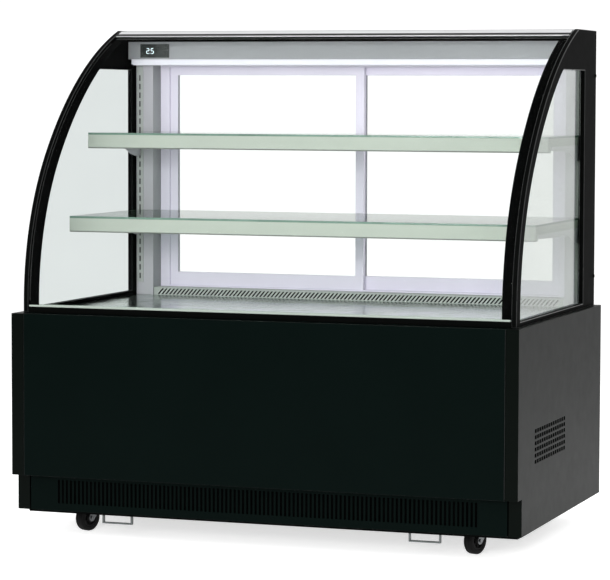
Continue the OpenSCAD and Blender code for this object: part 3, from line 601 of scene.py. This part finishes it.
def display_digits(reading="2.5"):
    """Lit seven-segment digits on the floor of the controller's window."""
    low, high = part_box("controller")
    wide, tall, stroke, thin = 0.0066, 0.0062, 0.0013, 0.0003
    digit_gap, dot_w, dot_step, end_gap = 0.0036, 0.0014, 0.0022, 0.0005
    left, foot, floor_y = low.x + 0.0165, (low.z + high.z) / 2 - tall, low.y + 0.0015
    bm = bmesh.new()
    for mark in reading:
        if mark == ".":
            block(bm, (left - dot_w, floor_y - thin, foot - stroke / 2),
                  (left, floor_y, foot + stroke / 2 + 0.0003))
            left += dot_step
            continue
        for name in DIGITS[mark]:
            (x0, z0), (x1, z1) = SEGMENTS[name]
            ends = [Vector((left + wide * x, 0, foot + tall * z)) for x, z in ((x0, z0), (x1, z1))]
            run = (ends[1] - ends[0]).normalized() * end_gap
            side = Vector((abs(run.z), 0, abs(run.x))).normalized() * stroke / 2
            corners = (ends[0] + run - side, ends[1] - run + side)
            lows, highs = ([f(c[i] for c in corners) for i in range(3)] for f in (min, max))
            block(bm, (lows[0], floor_y - thin, lows[2]), (highs[0], floor_y, highs[2]))
        left += wide + digit_gap
    add_piece("display_digits", to_mesh(bm, "display_digits"), "controller", "lamp", lit_digits("digit_glow"))


def pleated_filter(name, node, low, high, pitch=0.012, run=0):
    """A black pleated filter mat behind a vent, its pleats one after another along the run axis; its near-black
    finish also stands in for the shade inside the vent, as painted shade.
    """
    bm = bmesh.new()
    steps = 2 * int((high[run] - low[run]) / pitch)
    rows = []
    for i in range(steps + 1):
        foot = list((low, high)[i % 2])
        foot[run] = low[run] + (high[run] - low[run]) * i / steps
        rows.append([bm.verts.new((foot[0], foot[1], z)) for z in (low[2], high[2])])
    for left, right in zip(rows, rows[1:]):
        bm.faces.new((left[0], right[0], right[1], left[1]))
    bmesh.ops.solidify(bm, geom=bm.faces[:], thickness=0.0006)
    add_piece(name, to_mesh(bm, name), node, "pan_plastic", black_filter_and_shade)


def vent_filters():
    """The mats behind the riser's slots, the kick grille and the side vent, which also darken what is seen through
    them as painted shade.
    """
    low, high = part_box("deck_vent_riser")
    pleated_filter("riser_filter", "deck_vent_riser", (low.x + 0.004, low.y + 0.004, low.z + 0.001),
                   (high.x - 0.004, low.y + 0.01, high.z - 0.003), pitch=0.008)
    low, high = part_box("kick_grille")
    pleated_filter("condenser_filter", "kick_grille", (low.x + 0.03, low.y + 0.006, low.z + 0.004),
                   (high.x - 0.03, low.y + 0.014, high.z - 0.003))
    low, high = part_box("side_panel_right")
    margin, lap = 0.05, 0.006
    holes = [v.co for v in nodes["side_panel_right"].data.vertices
             if all(low[i] + margin < v.co[i] < high[i] - margin for i in (1, 2))]
    (y0, y1), (z0, z1) = ([f(v[i] for v in holes) for f in (min, max)] for i in (1, 2))
    pleated_filter("side_filter", "side_panel_right", (high.x - 0.012, y0 - lap, z0 - lap),
                   (high.x - 0.0022, y1 + lap, z1 + lap), run=1)


def slot_shadows():
    """A dark strip in the recess behind each slotted standard."""
    half_w, near, far, foot, head = 0.0032, 0.0003, 0.0007, 0.008, 0.009
    bm = bmesh.new()
    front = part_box("rear_columns")[0].y
    for low, high in islands("shelf_standards"):
        middle = (low.x + high.x) / 2
        block(bm, (middle - half_w, front + near, low.z + foot),
              (middle + half_w, front + far, high.z - head))
    add_piece("slot_shadows", to_mesh(bm, "slot_shadows"), "shelf_standards", "column_paint", frit)


vent_filters()
frit_band()
side_glass_border("left")
side_glass_border("right")
for corner in CORNERS:
    castor_wheel(corner)
fasteners()
display_digits()
slot_shadows()


# ---- floor, light and camera ----

def fading_floor(fade_from=1.3, fade_to=4.5, edge=6):
    """A pale floor that glows a little and fades into the background some way from the case."""
    bm = bmesh.new()
    bmesh.ops.create_circle(bm, cap_ends=True, segments=96, radius=edge)
    floor = bpy.data.objects.new("floor", to_mesh(bm, "floor"))
    floor.location.z = cad_box[0][2]
    bpy.context.scene.collection.objects.link(floor)
    look = Look("pale_floor", (0.86, 0.86, 0.85), 0.7, Emission_Color=(1, 1, 1, 1), Emission_Strength=0.65)
    look.tint(look.noise(0.6, detail=4), (0.85, 0.85, 0.845), (0.87, 0.87, 0.865))
    distance = look.tree.nodes.new("ShaderNodeVectorMath")
    distance.operation = "LENGTH"
    look.link(look.place, distance.inputs[0])
    look.fade_to(look.tree.nodes.new("ShaderNodeBsdfTransparent"),
                 map_range(look.tree, distance.outputs["Value"], (fade_from, fade_to), kind="SMOOTHSTEP"))
    floor.data.materials.append(look.material)


def studio_world(seen, diffuse, dark, bright):
    """A white backdrop, with a strength where it's seen, one as light on matt surfaces, and two in
    reflections: the studio is dark in front of the case and bright behind and above it."""
    world = bpy.data.worlds.new("studio")
    world.use_nodes = True
    world.cycles.sampling_method = "NONE"
    tree = world.node_tree

    def backdrop(strength):
        node = tree.nodes.new("ShaderNodeBackground")
        node.inputs["Color"].default_value = (1, 1, 1, 1)
        node.inputs["Strength"].default_value = strength
        return node

    reflection = backdrop(dark)
    way = tree.nodes.new("ShaderNodeSeparateXYZ")
    tree.links.new(tree.nodes.new("ShaderNodeTexCoord").outputs["Generated"], way.inputs["Vector"])
    level = tree.nodes.new("ShaderNodeMath")
    level.operation = "MAXIMUM"
    for socket, axis, reach in ((0, "Y", (0.0, 0.7)), (1, "Z", (0.25, 0.7))):
        tree.links.new(map_range(tree, way.outputs[axis], reach, (dark, bright)), level.inputs[socket])
    tree.links.new(level.outputs["Value"], reflection.inputs["Strength"])

    path = tree.nodes.new("ShaderNodeLightPath")
    reflected = tree.nodes.new("ShaderNodeMath")
    reflected.operation, reflected.use_clamp = "SUBTRACT", True
    tree.links.new(path.outputs["Is Glossy Ray"], reflected.inputs[0])
    tree.links.new(path.outputs["Is Transmission Ray"], reflected.inputs[1])
    lit = mixed(tree, path.outputs["Is Diffuse Ray"], backdrop(seen).outputs[0], backdrop(diffuse).outputs[0])
    surface = mixed(tree, reflected.outputs["Value"], lit, reflection.outputs[0])
    tree.links.new(surface, tree.nodes["World Output"].inputs["Surface"])
    bpy.context.scene.world = world


def area_light(name, place, target, size, power):
    """A white softbox that isn't seen, directly or in reflections."""
    lamp = bpy.data.lights.new(name, "AREA")
    lamp.shape = "RECTANGLE"
    lamp.size, lamp.size_y = size
    lamp.energy = power
    light = bpy.data.objects.new(name, lamp)
    light.location = place
    light.rotation_euler = (Vector(target) - Vector(place)).to_track_quat("-Z", "Y").to_euler()
    light.visible_camera = False
    light.visible_glossy = False
    bpy.context.scene.collection.objects.link(light)


fading_floor()
studio_world(seen=1.1, diffuse=1.0, dark=0.06, bright=1.0)
area_light("key", (3.4, -1.2, 2.6), (0.3, 0, 0.5), (1.6, 1.6), 30)
area_light("fill", (-1.2, -4.5, 2.6), (0, 0, 0.8), (2.5, 2.5), 40)
area_light("level", (0.4, -4.2, 1.2), (0, 0.3, 0.85), (3.0, 1.0), 130)

# a long lens at the photograph's angle, solved from the straight edges of the cabinet
lens = bpy.data.cameras.new("photo_angle")
lens.lens = 155.51
lens.sensor_width = 36
lens.shift_x, lens.shift_y = -0.1252, -0.0496
lens.clip_end = 50
camera = bpy.data.objects.new("photo_angle", lens)
yaw, pitch, roll = 0.32158, 0.06102, 0.00447
tilt = Matrix.Rotation(math.radians(90) - pitch, 3, "X")
turn = Matrix.Rotation(yaw, 3, "Z") @ tilt @ Matrix.Rotation(roll, 3, "Z")
camera.location = (2.146, -5.9305, 1.0319)
camera.rotation_euler = turn.to_euler()
bpy.context.scene.collection.objects.link(camera)
bpy.context.scene.camera = camera
bpy.context.scene.view_settings.view_transform = "Standard"
